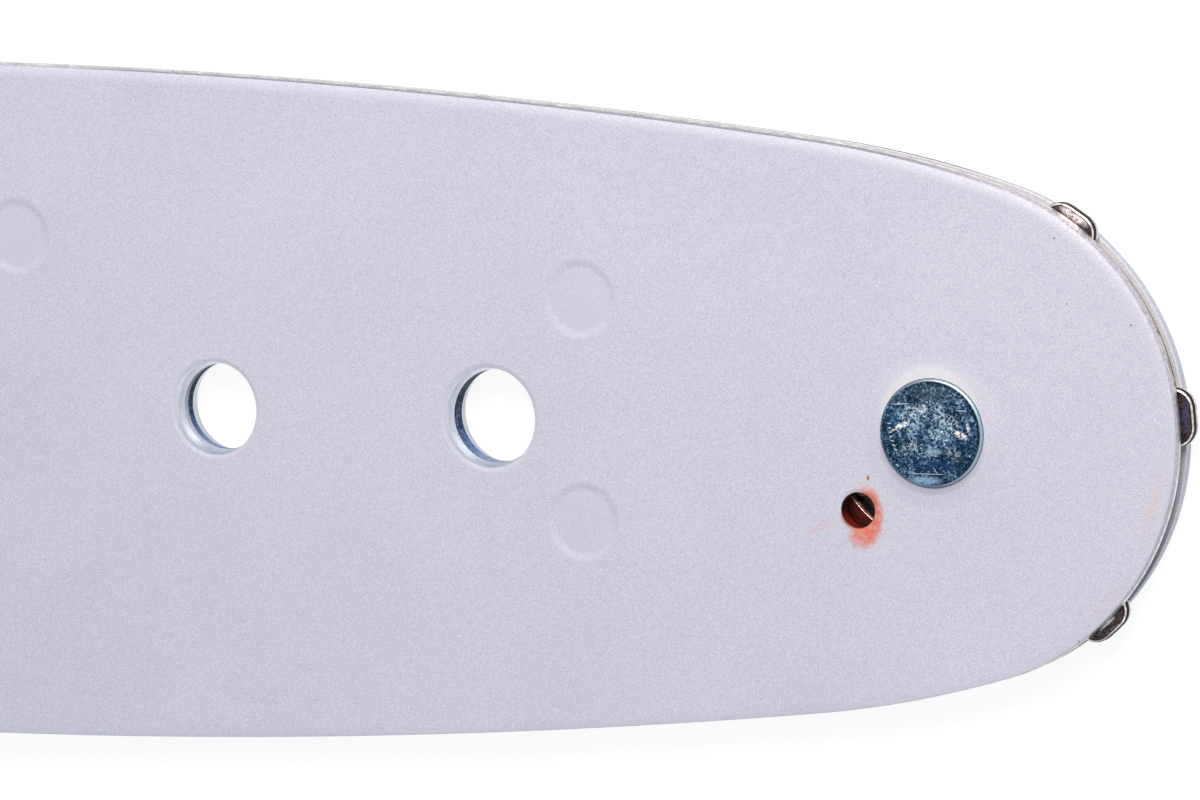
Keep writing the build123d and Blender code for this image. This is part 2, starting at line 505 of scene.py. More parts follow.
def build_side_plate(name, extra_holes, welds, lower):
    """A side plate with rolled edges, punched holes and the rivet's seat; a lower one is turned over."""
    roll_width, roll_depth = lower_roll if lower else edge_roll
    back_width, back_depth = back_roll
    lip_width, lip_height = rail_lip
    piece = draw_plate(name, back_z + back_depth)
    pull(0, 0, lip_upright * lip_height)
    inset(lip_width, (1 - lip_upright) * lip_height)
    pull(0, 0, side_plate_t - back_depth - lip_height - roll_depth)
    round_over(roll_width, roll_depth, 14)
    bpy.ops.mesh.delete(type="ONLY_FACE")
    square_lower_edge(piece, face_z - roll_depth)
    select_points(piece, lambda v: v.co.z < (back_z + back_depth) * MM + touching)
    round_over(back_width, back_depth, 4)
    inset(rail_rub, 0)
    bpy.ops.mesh.delete(type="ONLY_FACE")
    for x, y, width, *length in openings:
        punch(face_z, back_z, hole_rim, x, y, width, *length)
    for hole in extra_holes:
        punch(face_z, back_z, hole_rim, *hole)
    for x, y in welds:
        press_weld(x, y)
    seat_rivet()
    fill_level(piece, face_z)
    fill_level(piece, back_z)
    finish_selected(piece, 4)
    if lower:
        bpy.ops.mesh.select_all(action="SELECT")
        bpy.ops.transform.resize(value=(1, 1, -1), center_override=(0, 0, middle_z * MM))
    close_mesh()
    strip_end = groove_width / 2 + strip_margin
    lip_end = groove_width / 2 + back_depth + lip_height
    finish_faces(piece, 1, lambda spot, normal: abs(normal.z) < wall_tilt and in_any_opening(spot))
    finish_faces(piece, 5, lambda spot, normal: on_rail(spot) and abs(spot.z - middle_z) < strip_end)
    finish_faces(piece, 3, lambda spot, normal: on_rail(spot) and abs(spot.z - middle_z) < lip_end)
    finish_faces(piece, 2, lambda spot, normal: on_rail(spot) and abs(normal.z) < roll_tilt)
    smooth_piece(piece, 50)
    return piece


def build_core():
    """The core strip: drawn in from the rails, hollow at the nose, and punched like the plates."""
    centre_reach = hypot(side_x - nose_x, side_y)
    centre_turn = degrees(atan2(side_y, side_x - nose_x)) + 360
    rail_r = side_r - groove_depth
    opening_cos = (cavity_r ** 2 + centre_reach ** 2 - rail_r ** 2) / (2 * cavity_r * centre_reach)
    meet_turn = centre_turn - degrees(acos(opening_cos))
    meet_x, meet_y = from_nose(cavity_r, meet_turn)
    rail_turn = 90 - degrees(atan2(meet_y - side_y, meet_x - side_x))
    piece = start_point("core_plate_punched", nose_x - cavity_r, 0, back_z)
    swing(nose_x, 0, meet_turn - 180, 32)
    swing(side_x, side_y, rail_turn, 36)
    draw_rail()
    mirror_outline()
    for hole in openings:
        x, y, width, *length = hole
        ledge = core_ledge if hole in locating_holes else 0
        draw_opening(x, y, width - 2 * ledge, length[0] if length else 0, hole_steps, back_z)
        bpy.ops.mesh.delete(type="ONLY_FACE")
    bpy.ops.mesh.select_mode(type="EDGE")
    bpy.ops.mesh.select_all(action="SELECT")
    bpy.ops.mesh.fill(use_beauty=True)
    bpy.ops.mesh.select_all(action="SELECT")
    pull(0, 0, -groove_width)
    close_mesh()
    smooth_piece(piece, 40)
    return piece


def build_sprocket():
    """The star: half a tooth is drawn as arcs and a flank, mirrored, turned round the nose and pierced."""
    step = 360 / tooth_count
    flank = radians(tooth_flank_angle)
    flank_reach = tooth_tip_r * sin(flank) + tooth_tip_width / 2 * cos(flank)

    def round_centre(off_flank, off_axis):
        """Radius and angle of a rounding's centre, at its distances from the flank's line and the axis."""
        across = flank_reach + off_flank
        along = sqrt(off_axis ** 2 - across ** 2)
        aside = across * cos(flank) - along * sin(flank)
        outward = across * sin(flank) + along * cos(flank)
        return off_axis, degrees(atan2(aside, outward))

    tip_reach, tip_turn = round_centre(-tooth_tip_round, tooth_tip_r - tooth_tip_round)
    gap_reach, gap_turn = round_centre(gap_round, gap_floor_r + gap_round)
    piece = start_point("nose_sprocket_toothed", *from_nose(gap_floor_r, -step / 2), middle_z)
    swing(nose_x, 0, step / 2 - gap_turn, 6)
    gap_x, gap_y = from_nose(gap_reach, -gap_turn)
    swing(gap_x, gap_y, gap_turn + tooth_flank_angle - 90, 12)
    tip_x, tip_y = from_nose(tip_reach, -tip_turn)
    flank_x = tip_x - gap_x + (tooth_tip_round + gap_round) * sin(flank)
    flank_y = tip_y - gap_y - (tooth_tip_round + gap_round) * cos(flank)
    pull(flank_x, flank_y, 0)
    swing(tip_x, tip_y, 90 - tooth_flank_angle - tip_turn, 12)
    swing(nose_x, 0, tip_turn, 4)
    mirror_outline()
    axis = (nose_x * MM, 0, 0)
    bpy.ops.mesh.spin(steps=tooth_count, dupli=True, angle=2 * pi, center=axis, axis=(0, 0, 1))
    bpy.ops.mesh.select_all(action="SELECT")
    bpy.ops.mesh.remove_doubles(threshold=touching)
    bpy.ops.transform.rotate(value=-radians(sprocket_phase), orient_axis="Z", center_override=axis)
    fill_outline(piece)
    pull(0, 0, running_t / 2 - sprocket_bevel)
    round_over(sprocket_bevel, sprocket_bevel, 5)
    bpy.ops.mesh.delete(type="ONLY_FACE")
    select_points(piece, lambda v: v.co.z < middle_z * MM + touching)
    bpy.ops.mesh.delete(type="ONLY_FACE")
    top = running_z + running_t
    punch(top, middle_z, bore_rim, nose_x, 0, 2 * sprocket_bore_r)
    fill_level(piece, top)
    mirror_down()
    close_mesh()
    flank_end, first_line_end, bevel_end, second_line_end = tooth_tilts

    def on_bore(spot):
        """Whether a face's middle lies by the bore."""
        return hypot(spot.x - nose_x, spot.y) < sprocket_bore_r + bore_margin

    def on_line(tilt):
        """Whether a face of that tilt is in one of the dark lines beside the bevel."""
        return tilt < first_line_end or bevel_end < tilt < second_line_end

    finish_faces(piece, 3, lambda spot, normal: abs(normal.z) < level_tilt and on_bore(spot))
    finish_faces(piece, 1, lambda spot, normal: abs(normal.z) < level_tilt and spot.z < middle_z)
    finish_faces(piece, 4, lambda spot, normal: abs(normal.z) < flank_end)
    # Painted reflection and highlight: dark lines and a bright band up a tooth's rounded edge
    finish_faces(piece, 2, lambda spot, normal: on_line(abs(normal.z)))
    finish_faces(piece, 1, lambda spot, normal: abs(normal.z) < bevel_end)
    smooth_piece(piece, 40)
    return piece


def build_rivet():
    """The rivet: half of it is built up from its middle, then mirrored."""
    bpy.ops.object.select_all(action="DESELECT")
    bpy.ops.mesh.primitive_circle_add(
        vertices=rivet_steps,
        radius=rivet_shank_r * MM,
        fill_type="NGON",
        location=(nose_x * MM, 0, middle_z * MM),
    )
    piece = start_piece("nose_rivet_peened")
    pull(0, 0, face_z - countersink_depth - middle_z)
    pull(0, 0, countersink_depth)
    spread = rivet_head_r / rivet_shank_r
    bpy.ops.transform.resize(value=(spread, spread, 1), center_override=(nose_x * MM, 0, 0))
    roll_width, roll_rise = rivet_roll
    crown_width, crown_rise = rivet_crown
    pull(0, 0, rivet_proud - roll_rise - crown_rise)
    round_over(roll_width, roll_rise, 6)
    ease(crown_width, crown_rise, 4)
    select_points(piece, lambda v: v.co.z < middle_z * MM + touching)
    bpy.ops.mesh.delete(type="ONLY_FACE")
    mirror_down()
    close_mesh()
    smooth_piece(piece, 40)
    return piece


def build_rollers():
    """The loose rollers: one is turned with bevelled ends, and the rest are copies round the race."""
    bpy.ops.object.select_all(action="DESELECT")
    x, y = from_nose(roller_ring_r, grease_turn + 180 / roller_count)
    bpy.ops.mesh.primitive_circle_add(
        vertices=roller_steps,
        radius=roller_r * MM,
        fill_type="NGON",
        location=(x * MM, y * MM, running_z * MM),
    )
    first = start_piece("bearing_roller_turned_01")
    pull(0, 0, running_t)
    close_mesh()
    apply_modifier(
        first, "turned ends", "BEVEL", width=roller_bevel * MM, segments=3, limit_method="ANGLE",
        angle_limit=radians(60),
    )
    smooth_piece(first, 40)
    rollers = [first]
    to_axis = Matrix.Translation((nose_x * MM, 0, 0))
    for number in range(1, roller_count):
        roller = first.copy()
        roller.data = first.data.copy()
        roller.name = f"bearing_roller_turned_{number + 1:02d}"
        roller.data.name = roller.name
        turn = Matrix.Rotation(2 * pi * number / roller_count, 4, "Z")
        roller.data.transform(to_axis @ turn @ to_axis.inverted())
        bpy.context.scene.collection.objects.link(roller)
        rollers.append(roller)
    return rollers


def lay_marks(tree, colour, place, marks, broken=None):
    """Lays stains, specks and scratches over a colour, broken up by a pattern where one is given.

    A mark is its middle from the nose axis, half its sizes, its turn, how soft its edge is,
    its colour and how strongly it covers.
    """
    for x, y, half_x, half_y, turn, soft, stain, strength in marks:
        spot = add_node(
            tree, "ShaderNodeMapping",
            {
                "Location": ((nose_x + x) * MM, y * MM, 0),
                "Rotation": (0, 0, radians(turn)),
                "Scale": (half_x * MM, half_y * MM, 1),
            },
            {"Vector": place}, vector_type="TEXTURE",
        ).outputs[0]
        reach = add_node(tree, "ShaderNodeVectorMath", {}, {0: spot}, operation="LENGTH").outputs["Value"]
        cover = add_node(
            tree, "ShaderNodeMapRange", {"From Min": 1.0, "From Max": 1.0 - soft, "To Max": strength},
            {"Value": reach}, interpolation_type="SMOOTHSTEP",
        ).outputs["Result"]
        if broken is not None:
            cover = add_node(
                tree, "ShaderNodeMath", {}, {0: cover, 1: broken}, operation="MULTIPLY"
            ).outputs["Value"]
        colour = add_node(
            tree, "ShaderNodeMix", {"B": linear(stain)}, {"Factor": cover, "A": colour}, data_type="RGBA"
        ).outputs[2]
    return colour


# Old grease by the bearing's grease hole, and pink from it along the nose
grease_x = grease_from_rivet * cos(radians(grease_turn))
grease_y = grease_from_rivet * sin(radians(grease_turn))
grease_smears = [
    (-4.5, -5.3, 1.35, 2.35, 0, 0.5, "#E79A87", 0.8),
    (-4.25, -5.35, 1.05, 1.95, 0, 0.35, "#E2674A", 0.85),
    (-4.8, -6.75, 1.2, 0.95, 0, 0.7, "#E5765A", 0.8),
    (-7.5, -6.1, 1.5, 0.45, 28, 0.9, "#E2BFC4", 0.5),
    (14.2, -4.0, 0.6, 3.4, -14, 0.95, "#E6CCC8", 0.4),
    (11.5, -9.8, 0.6, 2.6, -45, 0.95, "#E0C8C6", 0.35),
]

# How far the edge of a smear wanders
smear_wave = 0.3

# On the upper plate: shade and light round the rivet, the inside of the grease hole, specks and scratches
plate_specks_and_rivet_shading = [
    (-0.05, -0.55, 3.65, 3.5, 0, 0.12, "#A9A9B6", 0.6),
    (-0.1, 0.85, 3.6, 3.65, 0, 0.2, "#F4F4F5", 0.55),
    (grease_x, grease_y, 1.18, 1.18, 0, 0.05, "#340C08", 1.0),
    (grease_x - 0.6, grease_y - 0.65, 0.95, 0.6, -45, 0.8, "#86180C", 0.95),
    (-4.31, -2.96, 0.14, 0.2, 0, 0.6, "#CC5B45", 1.0),
    (-17.75, 19.36, 2.45, 0.07, -7.1, 0.6, "#DCDAB4", 0.8),
    (-16.84, 19.11, 0.22, 0.17, 20, 0.6, "#C3C666", 1.0),
    (8.05, 12.19, 0.09, 0.05, 30, 0.3, "#3A3A40", 0.9),
    (8.85, 8.18, 0.05, 0.05, 0, 0.3, "#3A3A40", 0.9),
    (12.93, 6.99, 0.08, 0.05, -40, 0.3, "#2E2E34", 1.0),
    (9.45, -12.6, 0.04, 0.2, 12, 0.4, "#4A4A54", 0.9),
    (9.56, -12.72, 0.035, 0.1, -40, 0.4, "#4A4A54", 0.8),
]

# Marks on the rivet's head: patches and the punch's dimple, glints, scratches, and ticks up its left side
rivet_patches = [
    (0.0, 2.5, 2.1, 0.8, 0, 0.8, "#46505A", 0.55),
    (2.5, 0.1, 0.6, 1.7, 0, 0.8, "#1F3F66", 0.6),
    (-2.45, 0.9, 0.6, 1.2, -15, 0.8, "#28527A", 0.5),
    (0.2, -1.95, 2.2, 0.5, 0, 0.8, "#1B3D6C", 0.5),
    (-0.4, -2.95, 1.5, 0.4, 0, 0.7, "#8CAFD6", 0.8),
    (0.13, -1.12, 0.8, 0.3, 0, 0.8, "#92AEC2", 0.8),
    (-0.1, 0.5, 0.4, 0.3, 20, 0.9, "#101820", 0.8),
]
rivet_glints = [
    (-0.6, 1.55, 1.5, 0.5, 12, 0.9, "#DCE4EA", 0.5),
    (1.1, 0.95, 1.2, 0.55, -35, 0.9, "#DCE4EA", 0.5),
    (-1.4, -0.9, 1.0, 0.6, 40, 0.9, "#C6D4E0", 0.4),
    (1.5, -1.2, 0.9, 0.5, -30, 0.9, "#C6D4E0", 0.4),
    (-1.95, 0.42, 0.85, 0.2, 25, 0.5, "#FFFFFF", 1.0),
    (1.95, -0.05, 0.75, 0.28, -24, 0.5, "#FFFFFF", 1.0),
    (2.5, 0.35, 0.16, 0.55, 15, 0.7, "#E6EEF4", 0.9),
]
rivet_scratches = [
    (-1.98, 1.78, 0.78, 0.035, 4, 0.5, "#C9D6E2", 0.85),
    (2.05, 1.47, 0.45, 0.035, -2, 0.5, "#C9D6E2", 0.85),
    (-0.17, -2.52, 1.45, 0.03, 0, 0.5, "#BFD0E0", 0.8),
    (0.3, -2.3, 0.33, 0.03, -53, 0.5, "#C9D6E2", 0.8),
    (-0.55, -3.36, 0.55, 0.07, -4, 0.6, "#93403A", 0.9),
]
for tick in range(7):
    tick_x = -2.72 + 0.012 * tick ** 2
    tick_y = 0.55 - 0.27 * tick
    rivet_scratches.append((tick_x, tick_y, 0.17, 0.045, 8 - 4 * tick, 0.6, "#D5E0EA", 0.8))

# Teeth: painted reflection on the face of the top one, a painted highlight streak on the lowest one's tip
tooth_marks_and_highlights = [
    (8.95, 13.48, 1.35, 0.4, -33.6, 0.6, "#F4E6E4", 1.0),
    (16.0, 1.5, 0.32, 1.4, 0, 0.8, "#56527A", 0.8),
    (10.95, -11.5, 0.85, 0.09, 43, 0.6, "#EFE6E4", 1.0),
    (11.35, -11.95, 1.3, 0.25, 43, 0.8, "#A0968E", 0.7),
]

# Painted shade that dulls the bevel of the lowest tooth where it faces away from the light
bevel_painted_shade = [(10.4, -12.8, 1.9, 0.9, 43, 0.7, "#4E443E", 1.0)]

# Grease on the sprocket round its bearing, and the dark end of its bore's bright rim
bearing_marks = [(0.0, 0.0, 10.4, 10.4, 0, 0.2, "#4E1F16", 0.9)]
bore_marks = [(-5.8, -4.1, 0.75, 0.75, 0, 0.5, "#140A08", 1.0)]

# Painted shade: dull brown on the lip at the right of the nose, and dark along the top rail of both plates
lip_painted_shade = [(13.0, 6.5, 4.5, 10.5, 25, 0.5, "#8E8078", 1.0)]
rail_painted_shade = [(-28.0, 21.0, 38.0, 7.0, -5, 0.3, "#30364C", 2.0)]
edge_painted_shade = [(-28.0, 21.0, 38.0, 7.0, -5, 0.3, "#80828E", 1.2)]

# Only at a rail's outer edge: the upper plate's coat running over it, painted shade on the lower plate's top
# rail
coat_marks = [(0.0, 0.0, 1000.0, 1000.0, 0, 0.1, "#D6D7E4", 1.0)]
corner_painted_shade = [(-28.0, 20.0, 46.0, 10.0, -6, 0.15, "#2A2E3A", 1.5)]

# Where that outer edge begins and is full, from the middle of the bar's thickness
outer_from = 1.36
outer_full = 1.5


def powder_coat(name, greased):
    """Powder coat, sprayed dry and baked: satin and pale, with a fine sandy grain that breaks up light."""
    material, tree, shader, place = new_material(name, {"Roughness": 0.5, "IOR": 1.5})
    # The grain is drawn a little coarser than the real one, so that it shows
    grain = add_node(
        tree, "ShaderNodeTexNoise", {"Scale": pattern_scale(0.08), "Detail": 2.0, "Roughness": 0.6},
        {"Vector": place},
    ).outputs["Fac"]
    pits = add_node(
        tree, "ShaderNodeTexNoise", {"Scale": pattern_scale(0.34), "Detail": 2.0, "Roughness": 0.6},
        {"Vector": place},
    ).outputs["Fac"]
    cloud = add_node(
        tree, "ShaderNodeTexNoise", {"Scale": pattern_scale(11), "Detail": 3.0, "Roughness": 0.55},
        {"Vector": place},
    ).outputs["Fac"]
    mottle = add_node(
        tree, "ShaderNodeMath", {1: 0.13}, {0: cloud, 2: grain}, operation="MULTIPLY_ADD"
    ).outputs["Value"]
    spread = add_node(
        tree, "ShaderNodeMapRange", {"From Min": 0.385, "From Max": 0.765}, {"Value": mottle}
    ).outputs["Result"]
    colour = add_node(
        tree, "ShaderNodeMix", {"A": linear("#C5C7DA"), "B": linear("#E8E8F5")}, {"Factor": spread},
        data_type="RGBA",
    ).outputs[2]
    deep = add_node(
        tree, "ShaderNodeMapRange", {"From Min": 0.34, "From Max": 0.27, "To Max": 0.2}, {"Value": pits}
    ).outputs["Result"]
    colour = add_node(
        tree, "ShaderNodeMix", {"B": linear("#ABABBA")}, {"Factor": deep, "A": colour}, data_type="RGBA"
    ).outputs[2]
    if greased:
        streak = add_node(
            tree, "ShaderNodeTexNoise", {"Scale": pattern_scale(0.4), "Detail": 4.0, "Roughness": 0.7},
            {"Vector": place},
        ).outputs
        rubbed = add_node(
            tree, "ShaderNodeMapRange", {"From Min": 0.3, "From Max": 0.58, "To Min": 0.35},
            {"Value": streak["Fac"]},
        ).outputs["Result"]
        wave = smear_wave * MM
        shift = add_node(
            tree, "ShaderNodeVectorMath", {1: (2 * wave, 2 * wave, 0), 2: (-wave, -wave, 0)},
            {0: streak["Color"]}, operation="MULTIPLY_ADD",
        ).outputs[0]
        wavy = add_node(tree, "ShaderNodeVectorMath", {}, {0: place, 1: shift}, operation="ADD").outputs[0]
        colour = lay_marks(tree, colour, wavy, grease_smears, rubbed)
        colour = lay_marks(tree, colour, place, plate_specks_and_rivet_shading)
    tree.links.new(colour, shader.inputs["Base Color"])
    height = add_node(
        tree, "ShaderNodeMath", {1: 0.2}, {0: pits, 2: grain}, operation="MULTIPLY_ADD"
    ).outputs["Value"]
    bump = add_node(tree, "ShaderNodeBump", {"Strength": 0.3, "Distance": 0.04 * MM}, {"Height": height})
    tree.links.new(bump.outputs["Normal"], shader.inputs["Normal"])
    return material


def punched_steel(name):
    """The punched walls of holes: bright steel with bands from the punch, painted shade towards the lower
    rail.
    """
    material, tree, shader, place = new_material(name, {"Metallic": 0.9, "Roughness": 0.25})
    flat = add_node(tree, "ShaderNodeMapping", {"Scale": (0.12, 0.12, 1.0)}, {"Vector": place}).outputs[0]
    bands = add_node(
        tree, "ShaderNodeTexNoise", {"Scale": pattern_scale(0.3), "Detail": 2.0}, {"Vector": flat}
    ).outputs["Fac"]
    grain = add_node(
        tree, "ShaderNodeTexNoise", {"Scale": pattern_scale(0.2), "Detail": 3.0, "Roughness": 0.7},
        {"Vector": place},
    ).outputs["Fac"]
    both = add_node(
        tree, "ShaderNodeMath", {1: 0.6}, {0: grain, 2: bands}, operation="MULTIPLY_ADD"
    ).outputs["Value"]
    spread = add_node(
        tree, "ShaderNodeMapRange", {"From Min": 0.5, "From Max": 1.1}, {"Value": both}
    ).outputs["Result"]
    colour = add_node(
        tree, "ShaderNodeMix", {"A": linear("#BEC4D0"), "B": linear("#F4F6FC")}, {"Factor": spread},
        data_type="RGBA",
    ).outputs[2]
    axes = add_node(tree, "ShaderNodeSeparateXYZ", {}, {0: place}).outputs
    # Painted shade: duller towards the lower side of a hole, where the lamp falls on its wall
    painted_shade_fade = add_node(
        tree, "ShaderNodeMapRange", {"From Min": -2.5 * MM, "From Max": 2.0 * MM}, {"Value": axes["Y"]}
    ).outputs["Result"]
    colour = add_node(
        tree, "ShaderNodeMix", {"A": linear("#B4BAC4")}, {"Factor": painted_shade_fade, "B": colour}, data_type="RGBA"
    ).outputs[2]
    tree.links.new(colour, shader.inputs["Base Color"])
    bump = add_node(tree, "ShaderNodeBump", {"Strength": 0.3, "Distance": 0.03 * MM}, {"Height": both})
    tree.links.new(bump.outputs["Normal"], shader.inputs["Normal"])
    return material


def oily_steel(name, hex_dark, hex_pale, metallic, roughness, size, marks=(), outer_marks=()):
    """Bare steel under an uneven film of old oil and dust, less of a mirror the more dust.

    Outer marks lie only along the outer edge of a wall, and thin out down it.
    """
    material, tree, shader, place = new_material(name, {"Metallic": metallic, "Specular IOR Level": 0.2})
    grain = add_node(
        tree, "ShaderNodeTexNoise", {"Scale": pattern_scale(size), "Detail": 4.0, "Roughness": 0.65},
        {"Vector": place},
    ).outputs["Fac"]
    film = add_node(
        tree, "ShaderNodeMapRange", {"From Min": 0.3, "From Max": 0.7}, {"Value": grain}
    ).outputs["Result"]
    dust = add_node(
        tree, "ShaderNodeMapRange", {"To Min": roughness, "To Max": roughness + 0.25}, {"Value": film}
    ).outputs["Result"]
    colour = add_node(
        tree, "ShaderNodeMix", {"A": linear(hex_dark), "B": linear(hex_pale)}, {"Factor": film},
        data_type="RGBA",
    ).outputs[2]
    colour = lay_marks(tree, colour, place, marks, film)
    if outer_marks:
        axes = add_node(tree, "ShaderNodeSeparateXYZ", {}, {0: place}).outputs
        height = add_node(
            tree, "ShaderNodeMath", {1: middle_z * MM}, {0: axes["Z"]}, operation="SUBTRACT"
        ).outputs["Value"]
        height = add_node(tree, "ShaderNodeMath", {}, {0: height}, operation="ABSOLUTE").outputs["Value"]
        outer = add_node(
            tree, "ShaderNodeMapRange", {"From Min": outer_from * MM, "From Max": outer_full * MM},
            {"Value": height}, interpolation_type="SMOOTHSTEP",
        ).outputs["Result"]
        colour = lay_marks(tree, colour, place, outer_marks, outer)
    tree.links.new(colour, shader.inputs["Base Color"])
    tree.links.new(dust, shader.inputs["Roughness"])
    bump = add_node(tree, "ShaderNodeBump", {"Strength": 0.25, "Distance": 0.03 * MM}, {"Height": grain})
    tree.links.new(bump.outputs["Normal"], shader.inputs["Normal"])
    return material


def blued_strip(name):
    """Cold-rolled strip with a blue temper film: speckled navy, paler to one side as painted reflection, bare
    and bright on top.

    The wall of the rear hole has overspray on its upper half.
    """
    material, tree, shader, place = new_material(name, {"Roughness": 0.5, "Specular IOR Level": 0.1})
    axes = add_node(tree, "ShaderNodeSeparateXYZ", {}, {0: place}).outputs
    # Painted reflection across a hole's wall: pale on its lower side, dark on its upper
    across = add_node(
        tree, "ShaderNodeMapRange", {"From Min": -3.3 * MM, "From Max": 3.3 * MM}, {"Value": axes["Y"]}
    ).outputs["Result"]
    temper_and_reflection = add_node(tree, "ShaderNodeValToRGB", {}, {"Fac": across})
    ramp = temper_and_reflection.color_ramp
    ramp.elements[0].color = linear("#9CB2D4")
    ramp.elements[1].color = linear("#0A2C44")
    for stop, shade in ((0.16, "#6A8CBE"), (0.36, "#2A4A74"), (0.55, "#1C3654"), (0.75, "#123450")):
        ramp.elements.new(stop).color = linear(shade)
    grain = add_node(
        tree, "ShaderNodeTexNoise", {"Scale": pattern_scale(0.32), "Detail": 3.0, "Roughness": 0.7},
        {"Vector": place},
    ).outputs["Fac"]
    colour = temper_and_reflection.outputs["Color"]
    for low, high, shade in ((0.52, 0.66, "#8AA6CC"), (0.45, 0.34, "#0B1E34")):
        speck = add_node(
            tree, "ShaderNodeMapRange", {"From Min": low, "From Max": high, "To Max": 0.8}, {"Value": grain}
        ).outputs["Result"]
        colour = add_node(
            tree, "ShaderNodeMix", {"B": linear(shade)}, {"Factor": speck, "A": colour}, data_type="RGBA"
        ).outputs[2]
    behind = add_node(
        tree, "ShaderNodeMapRange", {"From Min": (nose_x - 38) * MM, "From Max": (nose_x - 42) * MM},
        {"Value": axes["X"]},
    ).outputs["Result"]
    above = add_node(
        tree, "ShaderNodeMapRange",
        {"From Min": middle_z * MM, "From Max": (middle_z + 0.15) * MM, "To Max": 0.9}, {"Value": axes["Z"]},
    ).outputs["Result"]
    spray = add_node(
        tree, "ShaderNodeMath", {}, {0: behind, 1: above}, operation="MULTIPLY"
    ).outputs["Value"]
    colour = add_node(
        tree, "ShaderNodeMix", {"B": linear("#DADEE8")}, {"Factor": spray, "A": colour}, data_type="RGBA"
    ).outputs[2]
    # Painted light and shade on the bare top: paler towards the upper side
    bright = add_node(
        tree, "ShaderNodeMix", {"A": linear("#B4BCC8"), "B": linear("#F6F8FC")}, {"Factor": across},
        data_type="RGBA",
    ).outputs[2]
    bare = add_node(
        tree, "ShaderNodeMapRange", {"From Min": (back_z - 0.03) * MM, "From Max": (back_z - 0.01) * MM},
        {"Value": axes["Z"]},
    ).outputs["Result"]
    colour = add_node(
        tree, "ShaderNodeMix", {}, {"Factor": bare, "A": colour, "B": bright}, data_type="RGBA"
    ).outputs[2]
    tree.links.new(colour, shader.inputs["Base Color"])
    tree.links.new(bare, shader.inputs["Metallic"])
    bump = add_node(tree, "ShaderNodeBump", {"Strength": 0.3, "Distance": 0.03 * MM}, {"Height": grain})
    tree.links.new(bump.outputs["Normal"], shader.inputs["Normal"])
    return material


def hardened_steel(name):
    """Hardened sprocket steel: brown-grey under old oil, reddened near the bearing, with painted highlights
    on teeth.
    """
    material, tree, shader, place = new_material(name, {"Metallic": 1.0, "Roughness": 0.34})
    grain = add_node(
        tree, "ShaderNodeTexNoise", {"Scale": pattern_scale(0.18), "Detail": 4.0, "Roughness": 0.7},
        {"Vector": place},
    ).outputs["Fac"]
    spread = add_node(
        tree, "ShaderNodeMapRange", {"From Min": 0.35, "From Max": 0.68}, {"Value": grain}
    ).outputs["Result"]
    colour = add_node(
        tree, "ShaderNodeMix", {"A": linear("#140E10"), "B": linear("#62565A")}, {"Factor": spread},
        data_type="RGBA",
    ).outputs[2]
    broken = add_node(
        tree, "ShaderNodeMapRange", {"From Min": 0.36, "From Max": 0.54, "To Min": 0.15}, {"Value": grain}
    ).outputs["Result"]
    colour = lay_marks(tree, colour, place, bearing_marks)
    colour = lay_marks(tree, colour, place, tooth_marks_and_highlights, broken)
    tree.links.new(colour, shader.inputs["Base Color"])
    bump = add_node(tree, "ShaderNodeBump", {"Strength": 0.35, "Distance": 0.03 * MM}, {"Height": grain})
    tree.links.new(bump.outputs["Normal"], shader.inputs["Normal"])
    return material


